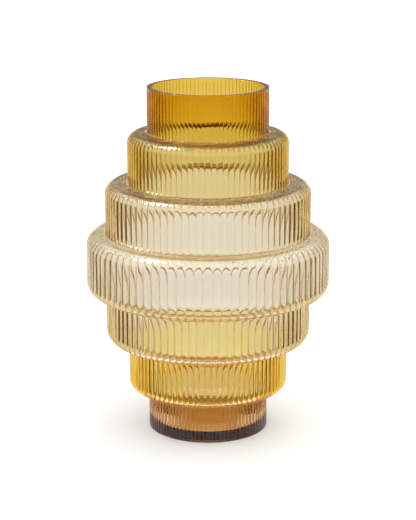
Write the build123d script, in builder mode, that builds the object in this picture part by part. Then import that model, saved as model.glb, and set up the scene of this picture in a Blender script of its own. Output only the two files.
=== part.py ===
"""Hand blown art glass vase: seven ribbed drums of glass, joined hot, one on another.

They step out from the neck to the belly and in again to the foot, and every drum carries the same
number of upright ribs. Each rib is one stave of the vase: a flat crest, a V groove on either side
of it and a flat inner face, so every round of the vase has one side for each rib.

Millimetres, +Z up. The origin is on the axis, in the plane that the vase stands on.
"""
import os
from math import atan2, cos, degrees, pi, radians, sin

from build123d import *

os.makedirs("parts", exist_ok=True)

# --- The ribs ---------------------------------------------------------------------------------
rib_count = 90  # the flutes of the blowing mould, the same on every tier
groove_share = 0.5  # how much of a rib's width its groove takes at the crests
groove_depth = 1.0
neck_groove_depth = 0.5  # the neck is reheated to be opened, which softens its ribs

# --- Outside: radii to the flat crests, and heights from crease to crease -----------------------
neck_radius = 59.5
upper_step = 19.5  # from the neck out to the upper tier, and in again from the lower tier to the foot
shoulder_step = 22.0  # from the upper to the shoulder tier, and from the waist to the lower tier
belly_step = 19.0  # from the shoulder tier to the belly, and from the belly to the waist

foot_height = 40.0
tier_height = 49.5  # of the lower, waist, shoulder and upper tiers
belly_height = 61.0
neck_height = 44.5

small_round = 10.0  # edge of a shelf on the upper, shoulder and lower tiers
large_round = 13.0  # edge of a shelf on the belly and the waist tier
round_bands = 3  # flat bands that turn the quarter circle of a rounded edge

# --- Glass thickness ----------------------------------------------------------------------------
neck_wall = 5.2  # the lip shows it
tier_wall = 4.0
foot_wall = 5.5
haunch = 12.0  # height over which the inner face slopes in behind a shelf
base_thickness = 10.0
base_recess = 1.0  # the underside is hollowed, so that the vase stands on the rim of its foot

# --- What follows from them ----------------------------------------------------------------------
pitch = 360 / rib_count

upper_radius = neck_radius + upper_step
shoulder_radius = upper_radius + shoulder_step
belly_radius = shoulder_radius + belly_step

neck_bore = neck_radius - neck_wall
upper_bore = upper_radius - tier_wall
shoulder_bore = shoulder_radius - tier_wall
belly_bore = belly_radius - tier_wall
foot_bore = neck_radius - foot_wall

lower_bottom = foot_height
waist_bottom = lower_bottom + tier_height
belly_bottom = waist_bottom + tier_height
shoulder_bottom = belly_bottom + belly_height
upper_bottom = shoulder_bottom + tier_height
neck_bottom = upper_bottom + tier_height
lip = neck_bottom + neck_height


# --- Forms that the tiers share ------------------------------------------------------------------
def polar(radius, angle):
    return radius * cos(radians(angle)), radius * sin(radians(angle))


def ribbed_outline(z, radius, depth):
    """The outline of a ribbed wall: a flat crest on each side, and a V groove at each corner."""
    half_groove = groove_share * pitch / 2
    groove_bottom = radius / cos(pi / rib_count) - depth
    crest_corner = radius / cos(radians(pitch / 2 - half_groove))
    points = []
    for rib in range(rib_count):
        points.append(polar(groove_bottom, rib * pitch))
        points.append(polar(crest_corner, rib * pitch + half_groove))
        points.append(polar(crest_corner, (rib + 1) * pitch - half_groove))
    with BuildSketch(Plane.XY.offset(z)) as outline:
        with BuildLine():
            Polyline(*points, close=True)
        make_face()
    return outline.sketch


def tapered_band(wide, narrow):
    """A solid with one side for each rib, from its wide end to its narrow end, above or below it.

    Each end is a height and a radius.
    """
    (z, radius), (narrow_z, narrow_radius) = wide, narrow
    height = abs(narrow_z - z)
    with BuildPart() as band:
        with BuildSketch(Plane.XY.offset(z)):
            RegularPolygon(radius, rib_count, major_radius=False, align=None)
        extrude(amount=height, taper=degrees(atan2(radius - narrow_radius, height)))
        if narrow_z < z:
            mirror(about=Plane.XY.offset(z), mode=Mode.REPLACE)
    return band.part


def many_sided(levels):
    """A stack of tapered bands through levels of height and radius, from the bottom to the top."""
    bands = [
        tapered_band(*sorted(ends, key=lambda end: end[1], reverse=True))
        for ends in zip(levels, levels[1:])
    ]
    with BuildPart() as solid:
        add(bands)
    return solid.part


def rounded_edge(z, radius, edge_round, up):
    """Levels of a quarter circle from the wall in to the shelf at height z. up is 1 or -1."""
    turns = [90 * band / round_bands for band in range(round_bands + 1)]
    return [
        (z - up * edge_round * (1 - sin(radians(turn))), radius - edge_round * (1 - cos(radians(turn))))
        for turn in turns
    ]


def ribbed_ring(outside, hollow, depth):
    """One tier: its ribbed wall, kept within its outside form, with its hollow taken out.

    outside and hollow are levels of height and radius, from the tier's bottom seam to its top one.
    The grooves are as deep all the way up, and run out where a rounded edge turns in past them.
    """
    bottom, top = outside[0][0], outside[-1][0]
    widest = max(radius for _, radius in outside)
    outside_form, hollow_form = many_sided(outside), many_sided(hollow)
    with BuildPart() as ring:
        extrude(ribbed_outline(bottom, widest, depth), amount=top - bottom)
        add(outside_form, mode=Mode.INTERSECT)
        add(hollow_form, mode=Mode.SUBTRACT)
    return ring


# --- Neck: a straight ribbed ring, cut flat and polished at the lip ------------------------------
neck_tier = ribbed_ring(
    outside=[(neck_bottom, neck_radius), (lip, neck_radius)],
    hollow=[(neck_bottom, neck_bore), (lip, neck_bore)],
    depth=neck_groove_depth,
)
neck_tier.part.label = "neck_tier"
export_step(neck_tier.part, "parts/neck_tier.step")

# --- Upper tier: its shelf carries the neck ------------------------------------------------------
upper_tier = ribbed_ring(
    outside=[(upper_bottom, upper_radius), *rounded_edge(neck_bottom, upper_radius, small_round, up=1)],
    hollow=[(upper_bottom, upper_bore), (neck_bottom - haunch, upper_bore), (neck_bottom, neck_bore)],
    depth=groove_depth,
)
upper_tier.part.label = "upper_tier"
export_step(upper_tier.part, "parts/upper_tier.step")

# --- Shoulder tier: its shelf carries the upper tier ---------------------------------------------
shoulder_tier = ribbed_ring(
    outside=[
        (shoulder_bottom, shoulder_radius),
        *rounded_edge(upper_bottom, shoulder_radius, small_round, up=1),
    ],
    hollow=[
        (shoulder_bottom, shoulder_bore),
        (upper_bottom - haunch, shoulder_bore),
        (upper_bottom, upper_bore),
    ],
    depth=groove_depth,
)
shoulder_tier.part.label = "shoulder_tier"
export_step(shoulder_tier.part, "parts/shoulder_tier.step")

# --- Belly: the widest tier, rounded at both edges -----------------------------------------------
belly_tier = ribbed_ring(
    outside=[
        *reversed(rounded_edge(belly_bottom, belly_radius, large_round, up=-1)),
        *rounded_edge(shoulder_bottom, belly_radius, large_round, up=1),
    ],
    hollow=[
        (belly_bottom, shoulder_bore),
        (belly_bottom + haunch, belly_bore),
        (shoulder_bottom - haunch, belly_bore),
        (shoulder_bottom, shoulder_bore),
    ],
    depth=groove_depth,
)
belly_tier.part.label = "belly_tier"
export_step(belly_tier.part, "parts/belly_tier.step")

# --- Waist tier: the shoulder tier upside down, with a larger round ------------------------------
waist_tier = ribbed_ring(
    outside=[
        *reversed(rounded_edge(waist_bottom, shoulder_radius, large_round, up=-1)),
        (belly_bottom, shoulder_radius),
    ],
    hollow=[
        (waist_bottom, upper_bore),
        (waist_bottom + haunch, shoulder_bore),
        (belly_bottom, shoulder_bore),
    ],
    depth=groove_depth,
)
waist_tier.part.label = "waist_tier"
export_step(waist_tier.part, "parts/waist_tier.step")

# --- Lower tier: the upper tier upside down ------------------------------------------------------
lower_tier = ribbed_ring(
    outside=[
        *reversed(rounded_edge(lower_bottom, upper_radius, small_round, up=-1)),
        (waist_bottom, upper_radius),
    ],
    hollow=[(lower_bottom, foot_bore), (lower_bottom + haunch, upper_bore), (waist_bottom, upper_bore)],
    depth=groove_depth,
)
lower_tier.part.label = "lower_tier"
export_step(lower_tier.part, "parts/lower_tier.step")

# --- Foot: a straight ribbed ring with a sharp bottom edge, where the ribs end in a saw-tooth ----
foot_tier = ribbed_ring(
    outside=[(0, neck_radius), (foot_height, neck_radius)],
    hollow=[(0, foot_bore), (foot_height, foot_bore)],
    depth=groove_depth,
)
foot_tier.part.label = "foot_tier"
export_step(foot_tier.part, "parts/foot_tier.step")

# --- Base disc: the solid floor of glass inside the foot -----------------------------------------
with BuildPart() as base_disc:
    with BuildSketch(Plane.XY.offset(base_recess)):
        RegularPolygon(foot_bore, rib_count, major_radius=False, align=None)
    extrude(amount=base_thickness - base_recess)
base_disc.part.label = "base_disc"
export_step(base_disc.part, "parts/base_disc.step")
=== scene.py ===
"""Hand blown art glass vase: seven ribbed drums of tinted glass, one on another, in a studio."""

import math

import bpy
import numpy as np
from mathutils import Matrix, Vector


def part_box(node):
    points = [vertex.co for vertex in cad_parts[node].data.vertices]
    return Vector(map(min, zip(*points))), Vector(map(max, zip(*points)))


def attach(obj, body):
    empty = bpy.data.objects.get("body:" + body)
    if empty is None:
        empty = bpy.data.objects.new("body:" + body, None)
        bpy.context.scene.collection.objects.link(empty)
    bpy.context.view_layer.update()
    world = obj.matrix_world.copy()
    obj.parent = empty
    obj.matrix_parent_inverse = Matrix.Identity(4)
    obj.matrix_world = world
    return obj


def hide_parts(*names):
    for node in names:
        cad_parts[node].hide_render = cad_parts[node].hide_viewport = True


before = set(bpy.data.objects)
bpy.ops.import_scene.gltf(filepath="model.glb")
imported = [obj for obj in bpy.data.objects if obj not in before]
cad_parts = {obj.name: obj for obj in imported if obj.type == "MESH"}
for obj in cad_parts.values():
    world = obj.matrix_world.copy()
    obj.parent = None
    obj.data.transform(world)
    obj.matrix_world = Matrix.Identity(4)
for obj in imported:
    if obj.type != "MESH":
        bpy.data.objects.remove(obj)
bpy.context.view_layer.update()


# --- Neck -----------------------------------------------------------------------------------------
# The mouth of the vase: a short ribbed cylinder of deep amber glass, in one gather with the shelf
# that it stands on. It is blown in the mould, cut flat, and fire-polished at the lip, which softens
# its ribs. It is made first, so the ways of shaping the glass that all the tiers share start here.

MM = 0.001
RIBS = 90
GLASS_IOR = 1.5
SEAM_GAP = 0.01 * MM  # half the hairline between two tiers, where hot glass met hot glass
COVE = 1.3 * MM  # the small hollow corner between a wall and the shelf that it stands on
LEVEL_POWER = 4  # how quickly a face stops counting as level as it tips
STIPPLES_PER_METRE = 420
STIPPLE_STARTS, STIPPLE_FULL = 0.3, 0.55  # heights of the noise between which a stipple comes up
MIX_FIRST, MIX_SECOND, MIX_RESULT = 6, 7, 2  # the colour sockets of a Mix node
DENSITY_SPARE = 1.02  # holds the colour of the glass's body just above nought


def glass(name, loss, skin, shelf):
    """Clear blown glass.

    loss is what a metre of it takes off red, green and blue, in nepers: the body's density, times
    one less its colour. skin is the share of each that gets in or out through a face. On a face
    that looks up it is darkened in random stipples towards the colour shelf: painted shade.
    """
    material = bpy.data.materials.new(name)
    material.use_nodes = True
    nodes, links = material.node_tree.nodes, material.node_tree.links
    surface = nodes["Principled BSDF"]
    surface.inputs["Transmission Weight"].default_value = 1.0
    surface.inputs["IOR"].default_value = GLASS_IOR
    surface.inputs["Roughness"].default_value = 0.0
    level = nodes.new("ShaderNodeAttribute")
    level.attribute_name = "level"
    stipple = nodes.new("ShaderNodeTexNoise")
    stipple.inputs["Scale"].default_value = STIPPLES_PER_METRE
    stipple.inputs["Detail"].default_value = 1.0
    links.new(nodes.new("ShaderNodeTexCoord").outputs["Object"], stipple.inputs["Vector"])
    # Painted shade: faces that look up go over to the shelf colour, in random stipples.
    painted_shade_share = nodes.new("ShaderNodeMapRange")
    painted_shade_share.inputs["From Min"].default_value = STIPPLE_STARTS
    painted_shade_share.inputs["From Max"].default_value = STIPPLE_FULL
    links.new(stipple.outputs[0], painted_shade_share.inputs["Value"])
    links.new(level.outputs["Fac"], painted_shade_share.inputs["To Max"])
    skin_with_painted_shade = nodes.new("ShaderNodeMix")
    skin_with_painted_shade.data_type = "RGBA"
    skin_with_painted_shade.inputs[MIX_FIRST].default_value = (*skin, 1)
    skin_with_painted_shade.inputs[MIX_SECOND].default_value = (*shelf, 1)
    links.new(painted_shade_share.outputs[0], skin_with_painted_shade.inputs["Factor"])
    links.new(skin_with_painted_shade.outputs[MIX_RESULT], surface.inputs["Base Color"])
    density = max(loss) * DENSITY_SPARE
    body = nodes.new("ShaderNodeVolumeAbsorption")
    body.inputs["Color"].default_value = (*[1 - part / density for part in loss], 1)
    body.inputs["Density"].default_value = density
    links.new(body.outputs["Volume"], nodes["Material Output"].inputs["Volume"])
    return material


# Across one rib, from -1 at one groove to 1 at the next, the glass falls away from the middle: a
# gently rounded crest, a parabola, and outside it a steeper flank on each side, down to the groove.
CREST_END = 0.74
CREST_SHARE = 0.6  # the parabola's share of the whole fall
FLANK_CURVE = 1.4
GROOVE_STRAY = 0.03  # how far a groove may be from its even place, in ribs
RIB_STRAY = 0.15  # how far a rib may be from its even depth, as a share of it
MOULD_JOINTS = (9, 189)  # degrees round the vase, where the two halves of the mould met

rib_points = np.array([-1.0, -0.92, -0.84, -CREST_END, -0.4, 0.0, 0.4, CREST_END, 0.84, 0.92])
flank = np.maximum((abs(rib_points) - CREST_END) / (1 - CREST_END), 0)
rib_section = CREST_SHARE * rib_points**2 + (1 - CREST_SHARE) * flank**FLANK_CURVE
mould = np.random.default_rng(seed=7)
strays = mould.uniform(-GROOVE_STRAY, GROOVE_STRAY, RIBS)
groove_angles = (np.arange(RIBS) + strays) * 2 * math.pi / RIBS
rib_widths = np.diff(np.append(groove_angles, groove_angles[0] + 2 * math.pi))
turn_angles = (groove_angles[:, None] + rib_widths[:, None] * (rib_points + 1) / 2).ravel()
rib_depths = mould.uniform(1 - RIB_STRAY, 1 + RIB_STRAY, RIBS)
groove_bite = np.outer((rib_depths + np.roll(rib_depths, 1)) / 2, rib_section).ravel()
mould_joint = np.searchsorted(turn_angles, np.radians(MOULD_JOINTS))

NEVER = 1e9  # an angle for closes_by that leaves the grooves open
CLOSES_TO = 1.2  # the closing goes on a little past closes_by, to shut the deepest grooves too


def run(start, end, count, groove=0.0, crisp=False):
    """A straight stretch of a wall's section: count rows, without its last point.

    Each row is radius, height, depth of the grooves there, how far they have closed up, and
    whether the stretch starts at a crisp corner.
    """
    share = np.linspace(0, 1, count, endpoint=False)
    rows = np.zeros((count, 5))
    rows[:, 0] = start[0] + (end[0] - start[0]) * share
    rows[:, 1] = start[1] + (end[1] - start[1]) * share
    rows[:, 2] = groove
    rows[0, 4] = crisp
    return rows


def turn(centre, radius, first, last, count, groove=0.0, closes_by=90, crisp=False):
    """An arc of a wall's section, in degrees from straight outwards, in rows as run makes them.

    The grooves follow the arc round and close up with the square of the angle, slowly first: by
    the angle closes_by a groove of even depth has gone.
    """
    angle = np.linspace(first, last, count, endpoint=False)
    rows = np.zeros((count, 5))
    rows[:, 0] = centre[0] + radius * np.cos(np.radians(angle))
    rows[:, 1] = centre[1] + radius * np.sin(np.radians(angle))
    rows[:, 2] = groove
    rows[:, 3] = groove * np.minimum(np.abs(angle) / closes_by, CLOSES_TO) ** 2
    rows[0, 4] = crisp
    return rows


WAVE_COUNT = 16
WAVE_SPREAD = (0.7, 1.5)  # the shortest and the longest wave, in sizes
WAVE_LIMIT = 1.2


def waves(points, size, seed):
    """Smooth unevenness, mostly between -1 and 1: a sum of plane waves in random directions."""
    draw = np.random.default_rng(seed)
    total = np.zeros(points.shape[:-1])
    for _ in range(WAVE_COUNT):
        direction = draw.normal(size=3)
        direction /= np.linalg.norm(direction) * size * draw.uniform(*WAVE_SPREAD) / (2 * math.pi)
        total += np.sin(points @ direction + draw.uniform(0, 2 * math.pi))
    return np.clip(total / math.sqrt(WAVE_COUNT), -WAVE_LIMIT, WAVE_LIMIT)


BLUNT = 0.05 * MM  # how softly a groove runs out as it closes
WALL_WAVE, WALL_DENT = 25 * MM, 0.05 * MM  # size and depth of the slow unevenness of a wall
SKIN_WAVE, SKIN_DENT = 6 * MM, 0.012 * MM  # and of the finer one on top of it
MOTTLE_WAVE = 3.2 * MM
JOINT_DENT = 0.12 * MM
JOINT_REACH = 28 * MM  # how far in from the widest radius the line of the mould's joint goes


def pressed(section, mottle):
    """Where the points of a tier lie: its section turned about the axis, with the mould's ribs.

    A groove presses the wall in, square to the section, by its depth times the rib's section there,
    less what it has closed up. On top of that the skin is a little wavy, mottle ripples the level
    faces, where the glass met the cool mould flat on, and a faint line runs down the outside where
    the mould's halves met. The second result is how much each row faces up, from -1 to 1.
    """
    radius, height, groove, closed_up = section.T[:4, :, None]
    along = np.roll(section[:, :2], -1, axis=0) - np.roll(section[:, :2], 1, axis=0)
    along /= np.linalg.norm(along, axis=1)[:, None]
    out, up = along[:, 1:], -along[:, :1]
    left = groove * groove_bite - closed_up
    press = np.where(groove > 0, (left + np.sqrt(left**2 + BLUNT**2)) / 2, 0)
    ring = np.stack((np.cos(turn_angles), np.sin(turn_angles)), axis=-1)
    points = np.empty((len(section), len(turn_angles), 3))
    points[..., :2] = (radius - press * out)[..., None] * ring
    points[..., 2] = height - press * up
    dent = WALL_DENT * (WAVE_LIMIT - waves(points, WALL_WAVE, seed=1))
    dent += SKIN_DENT * (WAVE_LIMIT - waves(points, SKIN_WAVE, seed=2))
    dent += mottle * up**LEVEL_POWER * (WAVE_LIMIT - waves(points, MOTTLE_WAVE, seed=3))
    dent[:, mould_joint] += JOINT_DENT * (radius > radius.max() - JOINT_REACH)
    points[..., :2] -= (dent * out)[..., None] * ring
    points[..., 2] -= dent * up
    return points, up


def blown(name, stretches, mottle=0.0, poles=False):
    """A body of glass, its section made of stretches, each running on into the next.

    The section closes on itself, or with poles its two ends are closed on the axis. How level the
    outside is, a power of how much it faces up, is kept for the shade painted on its level faces.
    """
    section = np.vstack(stretches)
    points, up = pressed(section, mottle)
    rows, columns = points.shape[:2]
    row, column = np.meshgrid(np.arange(rows - poles), np.arange(columns), indexing="ij")
    here, above, beside = row * columns, (row + 1) % rows * columns, (column + 1) % columns
    faces = np.stack((here + column, here + beside, above + beside, above + column), axis=-1)
    corners, sizes = faces.ravel(), np.full(row.size, 4)
    points = points.reshape(-1, 3)
    if poles:
        first, ahead = np.arange(columns), np.roll(np.arange(columns), -1)
        last = first + (rows - 1) * columns
        low_fan = np.stack((ahead, first, np.full(columns, len(points))), axis=1)
        high_fan = np.stack((last, last[ahead], np.full(columns, len(points) + 1)), axis=1)
        corners = np.concatenate((corners, low_fan.ravel(), high_fan.ravel()))
        sizes = np.append(sizes, np.full(2 * columns, 3))
        heights = points[first, 2].mean(), points[last, 2].mean()
        points = np.vstack((points, *[(0, 0, height) for height in heights]))
    mesh = bpy.data.meshes.new(name)
    mesh.vertices.add(len(points))
    mesh.vertices.foreach_set("co", points.ravel())
    mesh.loops.add(len(corners))
    mesh.loops.foreach_set("vertex_index", corners)
    mesh.polygons.add(len(sizes))
    mesh.polygons.foreach_set("loop_start", np.cumsum(sizes) - sizes)
    mesh.update(calc_edges=True)
    mesh.shade_smooth()
    ends = np.empty(2 * len(mesh.edges), dtype=np.int32)
    mesh.edges.foreach_get("vertices", ends)
    end_rows = np.minimum(ends.reshape(-1, 2) // columns, rows - 1)
    sharp = (end_rows[:, 0] == end_rows[:, 1]) & (section[end_rows[:, 0], 4] > 0)
    mesh.attributes.new("sharp_edge", "BOOLEAN", "EDGE").data.foreach_set("value", sharp)
    level = np.append(np.repeat(np.maximum(up, 0) ** LEVEL_POWER, columns), np.zeros(2 * poles))
    mesh.attributes.new("level", "FLOAT", "POINT").data.foreach_set("value", level)
    piece = bpy.data.objects.new(name, mesh)
    bpy.context.scene.collection.objects.link(piece)
    return piece


def levels(node):
    """The bottom, top and widest radius of a tier, with its share of the seams taken off."""
    low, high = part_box(node)
    return low[2] + SEAM_GAP, high[2] - SEAM_GAP, (high[0] - low[0]) / 2


def settle(piece, material, slot, *nodes):
    """Gives a finished tier its glass, and puts it in the place of its plain solids."""
    piece.data.materials.append(material)
    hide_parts(*nodes)
    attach(piece, "root")


NECK_WALL = 5.4 * MM
NECK_FOOT_WALL = 3.4 * MM
NECK_GROOVE = 0.7 * MM
LIP = 0.6 * MM  # the polished edges of the lip
LIP_BAND = 2.2 * LIP  # how far down from the lip the fire has almost melted the ribs away
LIP_GROOVE = 0.35 * NECK_GROOVE

bottom, top, neck_radius = levels("neck_tier")
neck_bore = neck_radius - NECK_WALL
neck_foot_bore = neck_radius - NECK_FOOT_WALL
cove_centre = (neck_radius + COVE, bottom + COVE)
neck = blown(
    "neck_glass",
    [
        turn(cove_centre, COVE, 270, 180, 6, NECK_GROOVE, NEVER, crisp=True),
        run((neck_radius, bottom + COVE), (neck_radius, top - LIP_BAND), 16, NECK_GROOVE),
        run((neck_radius, top - LIP_BAND), (neck_radius, top - LIP), 3, LIP_GROOVE),
        turn((neck_radius - LIP, top - LIP), LIP, 0, 90, 5),
        run((neck_radius - LIP, top), (neck_bore + LIP, top), 4),
        turn((neck_bore + LIP, top - LIP), LIP, 90, 180, 5),
        run((neck_bore, top - LIP), (neck_foot_bore, bottom), 15),
        run((neck_foot_bore, bottom), (neck_radius + COVE, bottom), 3, crisp=True),
    ],
)
neck_amber = glass(
    "neck_amber", loss=(28, 82, 420), skin=(0.995, 0.885, 0.69), shelf=(0.99, 0.93, 0.70)
)
settle(neck, neck_amber, "neck_glass", "neck_tier")


# --- Upper tier -----------------------------------------------------------------------------------
# A drum of honey-coloured glass that carries the neck on its level shelf, and is one with it there.
# The mould's ribs bend over its shoulder and close up just before the shelf, which keeps the marks
# of the cool mould in its surface and is painted deep brown in stipples, as shade.

GROOVE = 1.2 * MM
TIER_WALL = 3.2 * MM
SHELF = 3.2 * MM
BEAD = 3.2 * MM  # the soft inner corner where a shelf turns into the narrower bore
MOTTLE = 0.03 * MM
SMALL_ROUND = 10 * MM
SHOULDER_CLOSES = 60  # degrees of the round that the grooves reach over a shoulder
UNDERSIDE_CLOSES = 300  # far past the end of the round: below, they run on to its end
FACING_UP, FACING_DOWN = 1, -1  # which way a drum's shelf looks


def shelved(name, node, edge, closes_by, narrow_bore, facing):
    """A drum with one shelf round the bore of the next tier, above it or below it as it faces.

    The section runs from the seam up the ribbed wall, over the edge and the shelf, and down inside.
    """
    low, high, radius = levels(node)
    seam, shelf = (low, high)[::facing]
    bore, inner, under = radius - TIER_WALL, edge - TIER_WALL, shelf - facing * SHELF
    wall_end = seam + facing * COVE
    quarter = 90 * facing
    stretches = [
        turn((radius + COVE, wall_end), COVE, 180 + quarter, 180, 5, GROOVE, NEVER, crisp=True),
        run((radius, wall_end), (radius, shelf - facing * edge), 14, GROOVE),
        turn((radius - edge, shelf - facing * edge), edge, 0, quarter, 18, GROOVE, closes_by),
        run((radius - edge, shelf), (narrow_bore, shelf), 20),
        turn((narrow_bore + BEAD, shelf), BEAD, 180, 180 + quarter, 7),
        run((narrow_bore + BEAD, under), (bore - inner, under), 7),
        turn((bore - inner, under - facing * inner), inner, quarter, 0, 8),
        run((bore, under - facing * inner), (bore, seam), 12),
        run((bore, seam), (radius + COVE, seam), 3, crisp=True),
    ]
    if facing == FACING_DOWN:
        stretches = [np.flipud(np.vstack(stretches))]
    return blown(name, stretches, MOTTLE)


upper = shelved(
    "upper_glass", "upper_tier", SMALL_ROUND, SHOULDER_CLOSES, neck_foot_bore, FACING_UP
)
# The dark shelf colour is painted shade, stippled onto the faces that look up.
upper_honey = glass(
    "upper_honey", loss=(28, 58, 225), skin=(1.0, 0.962, 0.87), shelf=(0.14, 0.09, 0.07)
)
settle(upper, upper_honey, "upper_glass", "upper_tier")


# --- Shoulder tier --------------------------------------------------------------------------------
# A wider and paler drum, of straw-coloured glass, blown in the same ribbed mould. Its own level
# shelf carries the upper tier, and where they meet the two are one wall of glass.

upper_bore = levels("upper_tier")[2] - TIER_WALL
shoulder = shelved(
    "shoulder_glass", "shoulder_tier", SMALL_ROUND, SHOULDER_CLOSES, upper_bore, FACING_UP
)
# The dark shelf colour is painted shade, stippled onto the faces that look up.
shoulder_straw = glass(
    "shoulder_straw", loss=(9, 22, 70), skin=(0.993, 0.968, 0.92), shelf=(0.26, 0.18, 0.14)
)
settle(shoulder, shoulder_straw, "shoulder_glass", "shoulder_tier")


# --- Belly ----------------------------------------------------------------------------------------
# The widest drum, of champagne glass so pale that it is almost clear. It is rounded large above and
# below, with a shelf each way: the shoulder stands on the upper one, and the waist hangs from the
# lower one.

LARGE_ROUND = 13 * MM

shoulder_bore = levels("shoulder_tier")[2] - TIER_WALL
low, high, radius = levels("belly_tier")
bore, edge, inner = radius - TIER_WALL, LARGE_ROUND, LARGE_ROUND - TIER_WALL
belly = blown(
    "belly_glass",
    [
        turn((radius - edge, low + edge), edge, -90, 0, 15, GROOVE, UNDERSIDE_CLOSES),
        run((radius, low + edge), (radius, high - edge), 12, GROOVE),
        turn((radius - edge, high - edge), edge, 0, 90, 16, GROOVE, SHOULDER_CLOSES),
        run((radius - edge, high), (shoulder_bore, high), 14),
        turn((shoulder_bore + BEAD, high), BEAD, 180, 270, 6),
        run((shoulder_bore + BEAD, high - SHELF), (bore - inner, high - SHELF), 3),
        turn((bore - inner, high - SHELF - inner), inner, 90, 0, 7),
        run((bore, high - SHELF - inner), (bore, low + SHELF + inner), 9),
        turn((bore - inner, low + SHELF + inner), inner, 0, -90, 7),
        run((bore - inner, low + SHELF), (shoulder_bore + BEAD, low + SHELF), 3),
        turn((shoulder_bore + BEAD, low), BEAD, 90, 180, 6),
        run((shoulder_bore, low), (radius - edge, low), 10),
    ],
    MOTTLE,
)
belly_champagne = glass(
    "belly_champagne", loss=(4, 11, 34), skin=(0.993, 0.982, 0.955), shelf=(0.93, 0.84, 0.64)
)
settle(belly, belly_champagne, "belly_glass", "belly_tier")


# --- Waist tier -----------------------------------------------------------------------------------
# Under the belly the colour comes back: a drum of thin amber glass, as wide as the shoulder. It is
# the other way up, joined to the belly's lower shelf above and rounded large to a shelf of its own
# below.

waist = shelved(
    "waist_glass", "waist_tier", LARGE_ROUND, UNDERSIDE_CLOSES, upper_bore, FACING_DOWN
)
waist_amber = glass(
    "waist_amber", loss=(5, 12, 36), skin=(0.99, 0.961, 0.93), shelf=(0.93, 0.84, 0.64)
)
settle(waist, waist_amber, "waist_glass", "waist_tier")


# --- Lower tier -----------------------------------------------------------------------------------
# The last drum before the foot, of golden glass, as wide as the upper tier. It is joined to the
# waist's shelf above, and its small round below turns in to the wall of the foot.

FOOT_WALL = 4.2 * MM

_, foot_high, foot_radius = levels("foot_tier")
foot_bore = foot_radius - FOOT_WALL
lower = shelved(
    "lower_glass", "lower_tier", SMALL_ROUND, UNDERSIDE_CLOSES, foot_bore, FACING_DOWN
)
lower_gold = glass(
    "lower_gold", loss=(4, 21, 115), skin=(1.0, 0.925, 0.58), shelf=(0.90, 0.75, 0.50)
)
settle(lower, lower_gold, "lower_glass", "lower_tier")


# --- Foot and base --------------------------------------------------------------------------------
# The straight ribbed foot that the vase stands on, of brown glass, as wide as the neck. The thick
# floor of the vase is in one gather with it, ground a little hollow below, so that the vase rests
# on the flat rim alone.

FOOT_EDGE = 0.5 * MM
FOOT_CLOSES = 200  # degrees, past the end of the edge: the ribs end in a saw-tooth on the rim
FLOOR_CORNER = 4 * MM  # the round inside, where the wall meets the floor of the vase
HOLLOW_SLOPE = 3 * MM  # how far in from the rim the ground hollow reaches its full depth
AXIS = 0.5 * MM  # how near the axis the underside comes before its pole

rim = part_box("foot_tier")[0][2]
hollow, floor_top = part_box("base_disc")[0][2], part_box("base_disc")[1][2]
foot = blown(
    "foot_glass",
    [
        run((AXIS, hollow), (foot_bore - HOLLOW_SLOPE, hollow), 8),
        run((foot_bore - HOLLOW_SLOPE, hollow), (foot_bore, rim), 4),
        run((foot_bore, rim), (foot_radius - FOOT_EDGE, rim), 4),
        turn((foot_radius - FOOT_EDGE, rim + FOOT_EDGE), FOOT_EDGE, -90, 0, 4, GROOVE, FOOT_CLOSES),
        run((foot_radius, rim + FOOT_EDGE), (foot_radius, foot_high), 20, GROOVE),
        run((foot_radius, foot_high), (foot_bore, foot_high), 3, crisp=True),
        run((foot_bore, foot_high), (foot_bore, floor_top + FLOOR_CORNER), 12, crisp=True),
        turn((foot_bore - FLOOR_CORNER, floor_top + FLOOR_CORNER), FLOOR_CORNER, 0, -90, 7),
        run((foot_bore - FLOOR_CORNER, floor_top), (0, floor_top), 12),
    ],
    MOTTLE,
    poles=True,
)
foot_brown = glass(
    "foot_brown", loss=(32, 70, 150), skin=(0.995, 0.97, 0.94), shelf=(0.90, 0.80, 0.70)
)
settle(foot, foot_brown, "foot_glass", "foot_tier", "base_disc")


# --- Studio ---------------------------------------------------------------------------------------
# A pale floor in plain soft studio light. Seen through the glass the room is bright, warmer to the
# sides, and what the ribs turn back inside the wall is dim, which is what draws their dark lines.

LIGHT_BOUNCES = 64  # ribs pass light on to one another many times
FLOOR_BOUNCES = 3

scene = bpy.context.scene
scene.view_settings.view_transform = "Standard"
scene.cycles.max_bounces = LIGHT_BOUNCES
scene.cycles.transmission_bounces = LIGHT_BOUNCES
scene.cycles.glossy_bounces = LIGHT_BOUNCES
scene.cycles.diffuse_bounces = FLOOR_BOUNCES
scene.cycles.use_denoising = True
world = bpy.data.worlds.new("studio")
scene.world = world
world.cycles.sampling_method = "NONE"  # its light goes by the kind of ray, so rays alone find it
world.use_nodes = True
nodes, links = world.node_tree.nodes, world.node_tree.links
nodes.clear()


def feed(socket, value):
    """Gives a node's input another node's output, a colour or a number."""
    if isinstance(value, bpy.types.NodeSocket):
        links.new(value, socket)
    else:
        socket.default_value = (*value, 1) if isinstance(value, tuple) else value


def joined(kind, *inputs):
    """A shader node of one kind, with its first inputs fed in order."""
    node = nodes.new(kind)
    for socket, value in zip(node.inputs, inputs):
        feed(socket, value)
    return node


def calc(operation, *numbers):
    """One Math node: a number worked out from one or two others."""
    node = joined("ShaderNodeMath", *numbers)
    node.operation = operation
    return node.outputs[0]


def ramp(value, start, end, low=0.0, high=1.0):
    """low below start, high above end, and a smooth step between."""
    node = joined("ShaderNodeMapRange", value, start, end, low, high)
    node.interpolation_type = "SMOOTHSTEP"
    return node.outputs[0]


def blend(share, first, second):
    """The first colour, gone over to the second by share."""
    node = nodes.new("ShaderNodeMix")
    node.data_type = "RGBA"
    feed(node.inputs["Factor"], share)
    feed(node.inputs[MIX_FIRST], first)
    feed(node.inputs[MIX_SECOND], second)
    return node.outputs[MIX_RESULT]


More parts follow.
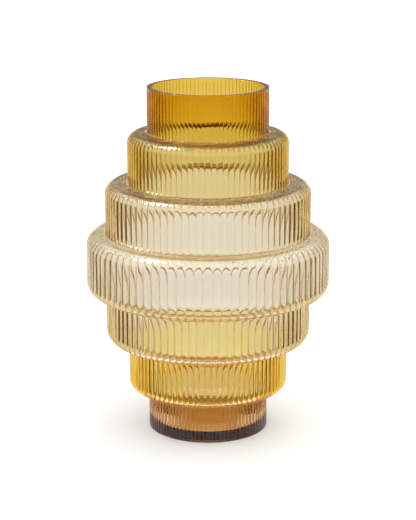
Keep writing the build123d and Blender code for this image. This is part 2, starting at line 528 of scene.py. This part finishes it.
FLOOR_GLOW = (1.5, 1.5, 1.5)  # the light that falls on the floor
BACKDROP = (1.0, 1.0, 1.0)  # the room beside the vase, not seen through it
BEHIND = (0.97, 0.97, 0.97)
SIDES = (0.82, 0.67, 0.36)
TURNED_BACK = (0.16, 0.08, 0.0)  # what a rib turns back inside the wall: its dark lines
SHEEN = (1.0, 0.95, 0.82)  # what it turns on towards the back: its bright lines
CEILING = (0.4, 0.35, 0.3)
BELOW = (0.8, 0.66, 0.4)
EYE_SLOPE = 0.25  # how steeply the vase is looked down on: level ribs keep a ray at this slope
ANY_BOUNCE = 0.5  # a count of bounces above this is one or more

# Two numbers say where in the room a direction points: backwards is 1 towards its back, 0 square
# across it and -1 towards its front, and slope is 1 straight up and -1 straight down. Each pair
# below is the stretch of backwards, of slope, or of how far slope is from the level ribs' slope,
# over which one colour gives way to the next.
BEHIND_FROM, OFF_LEVEL_FROM = (0.7, 0.9), (0.06, 0.16)
SHEEN_FROM, SHEEN_OFF_LEVEL_FROM = (0.45, 0.8), (0.2, 0.4)
CEILING_FROM, CEILING_TO, CEILING_BEHIND_FROM = (0.05, 0.15), (0.4, 0.55), (0.2, 0.5)
BELOW_UNDER = (-0.65, -0.4)

ray = nodes.new("ShaderNodeLightPath").outputs
way = joined("ShaderNodeSeparateXYZ", nodes.new("ShaderNodeTexCoord").outputs["Generated"]).outputs
slope = way["Z"]
backwards = calc("COSINE", calc("ARCTAN2", way["X"], way["Y"]))
off_level = calc("ABSOLUTE", calc("ADD", slope, EYE_SLOPE))
straight_on = calc("MAXIMUM", ramp(backwards, *BEHIND_FROM), ramp(off_level, *OFF_LEVEL_FROM))
bright = calc("MAXIMUM", ramp(backwards, *SHEEN_FROM), ramp(off_level, *SHEEN_OFF_LEVEL_FROM))
overhead = calc("MULTIPLY", ramp(slope, *CEILING_FROM), ramp(slope, *CEILING_TO, 1.0, 0.0))
overhead = calc("MULTIPLY", overhead, ramp(backwards, *CEILING_BEHIND_FROM))
through = blend(straight_on, SIDES, BEHIND)
bounced = blend(overhead, blend(bright, TURNED_BACK, SHEEN), CEILING)
seen = blend(calc("GREATER_THAN", ray["Glossy Depth"], ANY_BOUNCE), through, bounced)
seen = blend(ramp(slope, *BELOW_UNDER, 1.0, 0.0), seen, BELOW)
seen = blend(ray["Is Camera Ray"], seen, BACKDROP)
seen = blend(ray["Is Diffuse Ray"], seen, FLOOR_GLOW)
shine = nodes.new("ShaderNodeBackground")
links.new(seen, shine.inputs["Color"])
links.new(shine.outputs[0], nodes.new("ShaderNodeOutputWorld").inputs["Surface"])

DISC_SIDES = 96


def flat_disc(name, radius, height, colour):
    """A flat round floor: one many-sided face, of matt paint."""
    angles = np.linspace(0, 2 * math.pi, DISC_SIDES, endpoint=False)
    ring = np.stack((radius * np.cos(angles), radius * np.sin(angles), 0 * angles + height), axis=1)
    mesh = bpy.data.meshes.new(name)
    mesh.from_pydata(ring.tolist(), [], [tuple(range(DISC_SIDES))])
    disc = bpy.data.objects.new(name, mesh)
    scene.collection.objects.link(disc)
    paint = bpy.data.materials.new(name + "_paint")
    paint.use_nodes = True
    surface = paint.node_tree.nodes["Principled BSDF"]
    surface.inputs["Base Color"].default_value = (*colour, 1)
    surface.inputs["Roughness"].default_value = 1.0
    surface.inputs["Specular IOR Level"].default_value = 0.0
    mesh.materials.append(paint)
    return disc


# The floor itself, which the glass doesn't show, and the two discs that it shows in its place: a
# grey one for the floor near the vase, and a dim amber one under the foot: a painted shadow, with
# the amber light that comes through the foot painted into it.
floor = flat_disc("floor", radius=12.0, height=0.0, colour=(0.9, 0.9, 0.9))
floor.visible_glossy = floor.visible_transmission = False
near_floor = flat_disc(
    "near_floor", radius=110 * MM, height=-0.1 * MM, colour=(0.84, 0.84, 0.84)
)
near_floor.visible_camera = near_floor.visible_diffuse = False
# Painted shadow under the foot, dim and amber, seen only in the glass.
painted_shadow_under_foot = flat_disc(
    "painted_shadow_under_foot", radius=56 * MM, height=-0.05 * MM, colour=(0.63, 0.49, 0.23)
)
painted_shadow_under_foot.visible_camera = painted_shadow_under_foot.visible_diffuse = False

LAMP_SIZE = 0.6
LAMP_POWER = 35
LAMP_PLACE = (-0.9, -0.1, 1.5)
LAMP_AIM = (0, 0, 0.2)

light = bpy.data.lights.new("top_left_softbox", "AREA")
light.size = LAMP_SIZE
light.energy = LAMP_POWER
lamp = bpy.data.objects.new("top_left_softbox", light)
scene.collection.objects.link(lamp)
lamp.location = LAMP_PLACE
lamp.rotation_euler = (Vector(LAMP_AIM) - lamp.location).to_track_quat("-Z", "Y").to_euler()
lamp.visible_diffuse = lamp.visible_transmission = False

LENS, FILM = 114.6, 36  # millimetres
CAMERA_PLACE = (0, -1.585, 0.589)
CAMERA_TILT = 75.2  # degrees up from straight down

camera_data = bpy.data.cameras.new("camera")
camera_data.lens = LENS
camera_data.sensor_width = FILM
camera = bpy.data.objects.new("camera", camera_data)
scene.collection.objects.link(camera)
camera.location = CAMERA_PLACE
camera.rotation_euler = (math.radians(CAMERA_TILT), 0, 0)
scene.camera = camera
